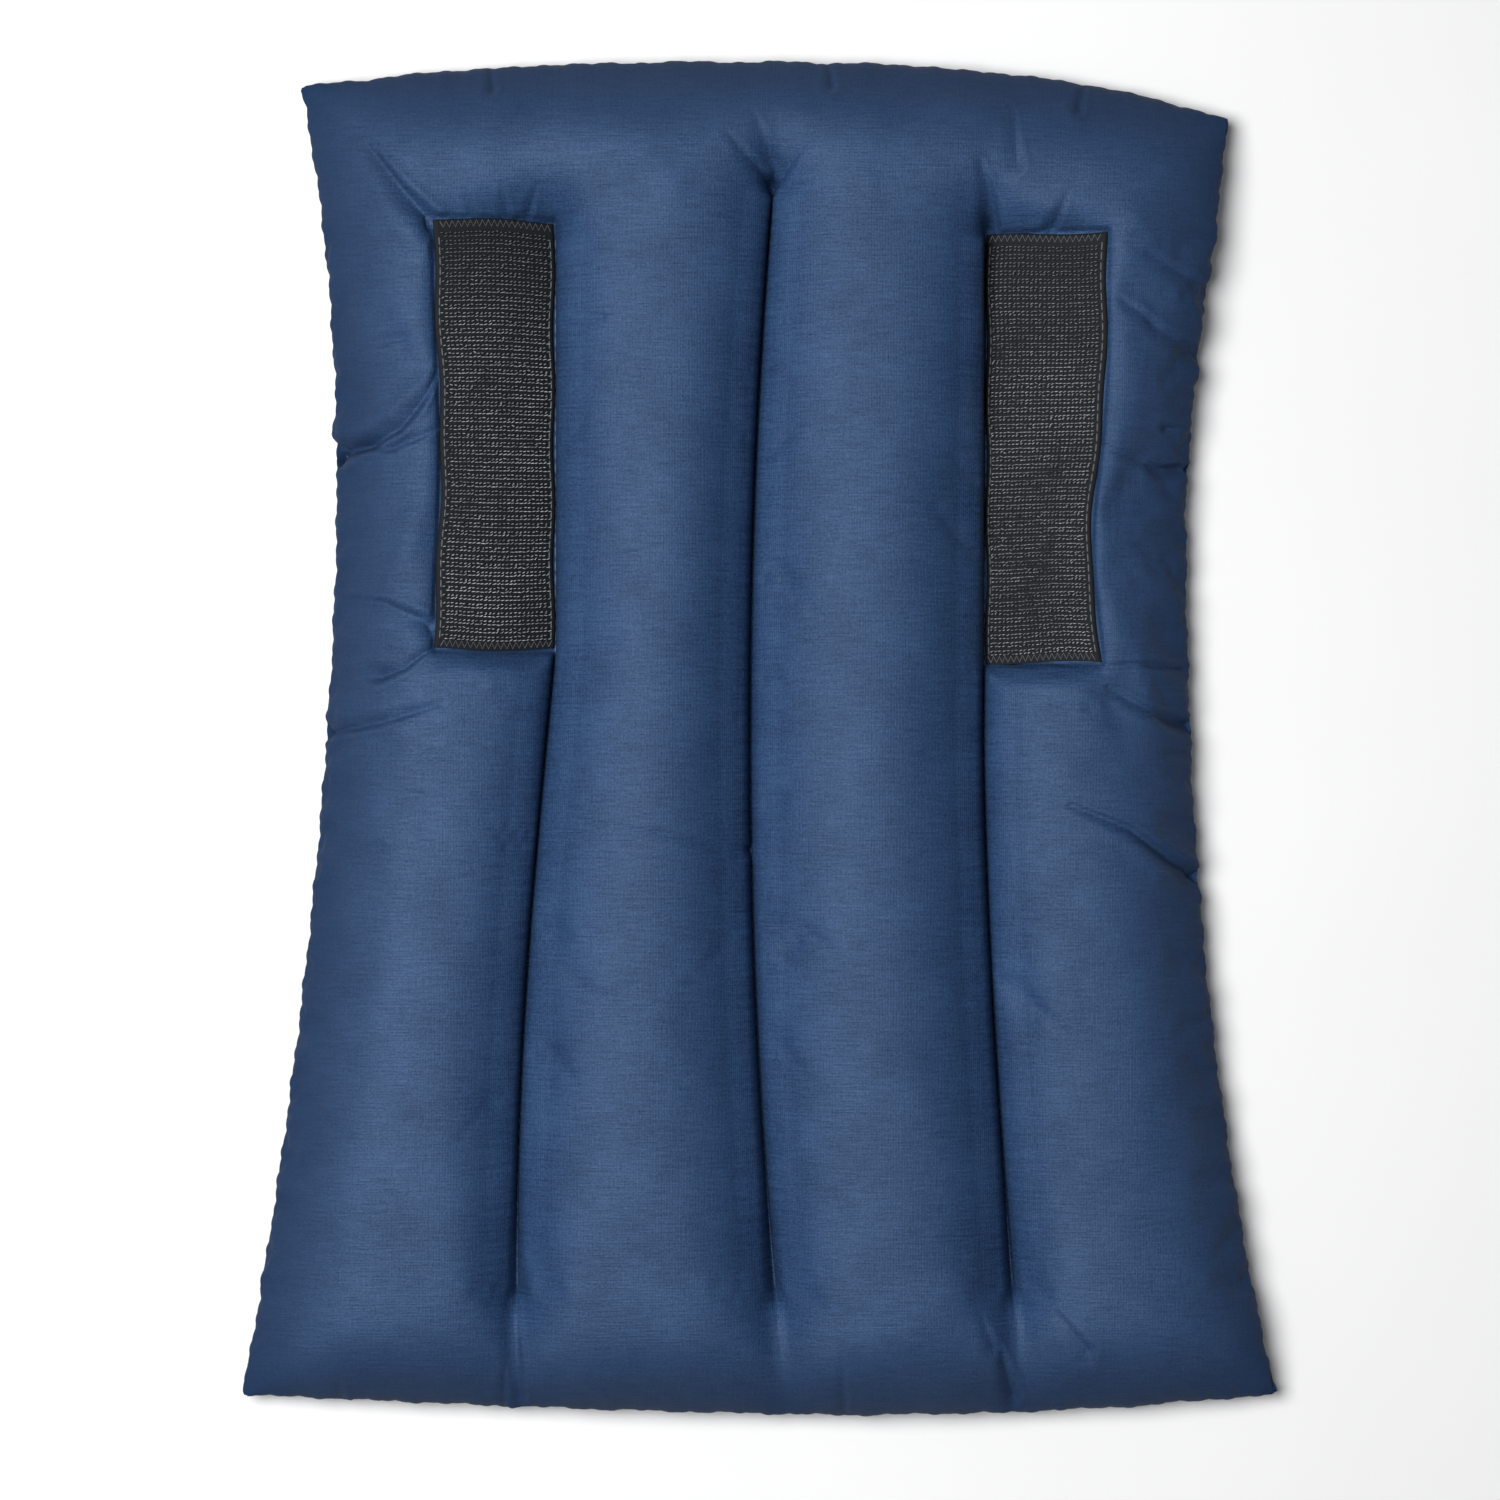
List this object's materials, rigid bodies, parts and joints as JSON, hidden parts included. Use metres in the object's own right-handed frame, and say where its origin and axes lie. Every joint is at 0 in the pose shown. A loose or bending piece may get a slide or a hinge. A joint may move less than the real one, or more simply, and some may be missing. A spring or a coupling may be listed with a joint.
{
  "type": "quilted foam pad",
  "caption": "Waisted quilted pad: stuffed lengthwise channels in blue woven cloth that fold at their stitched lines, with hook tape patches on its face.",
  "frame": {"origin": "centre of the pad's bounding box, on the ground it lies on", "axes": "+Y along the pad towards its narrow end, +Z out of its face, +X to its right seen from the face with the narrow end up"},
  "size_m": [0.31, 0.406, 0.032],
  "materials": {
    "face_cloth": "matte woven",
    "back_cloth": "matte woven",
    "filling": "soft open-cell foam",
    "hook_tape": "woven tape with plastic hooks",
    "tape_thread": "twisted thread",
    "sewing_thread": "twisted thread"
  },
  "bodies": {
    "outer_left": {"outer_left_face_cloth": "face_cloth", "outer_left_back_cloth": "back_cloth", "outer_left_filling": "filling", "outer_left_edge_seam_thread": "sewing_thread", "left_hook_tape": "hook_tape", "left_tape_needle_thread": "tape_thread", "left_tape_bobbin_thread": "tape_thread"},
    "inner_left": {"inner_left_face_cloth": "face_cloth", "inner_left_back_cloth": "back_cloth", "inner_left_filling": "filling", "inner_left_edge_seam_thread": "sewing_thread", "left_quilting_needle_thread": "sewing_thread", "left_quilting_bobbin_thread": "sewing_thread", "centre_quilting_needle_thread": "sewing_thread", "centre_quilting_bobbin_thread": "sewing_thread"},
    "inner_right": {"inner_right_face_cloth": "face_cloth", "inner_right_back_cloth": "back_cloth", "inner_right_filling": "filling", "inner_right_edge_seam_thread": "sewing_thread", "right_quilting_needle_thread": "sewing_thread", "right_quilting_bobbin_thread": "sewing_thread"},
    "outer_right": {"outer_right_face_cloth": "face_cloth", "outer_right_back_cloth": "back_cloth", "outer_right_filling": "filling", "outer_right_edge_seam_thread": "sewing_thread", "right_hook_tape": "hook_tape", "right_tape_needle_thread": "tape_thread", "right_tape_bobbin_thread": "tape_thread"}
  },
  "joints": [
    {"name": "left_fold", "type": "hinge", "parent": "inner_left", "child": "outer_left", "pos_m": [-0.0605, 0, 0.0087], "axis": [0, 1, 0], "range_deg": [0, 60]},
    {"name": "centre_fold", "type": "hinge", "parent": "inner_left", "child": "inner_right", "pos_m": [0, 0, 0.0087], "axis": [0, -1, 0], "range_deg": [0, 60]},
    {"name": "right_fold", "type": "hinge", "parent": "inner_right", "child": "outer_right", "pos_m": [0.0665, 0, 0.0087], "axis": [0, -1, 0], "range_deg": [0, 60]}
  ]
}
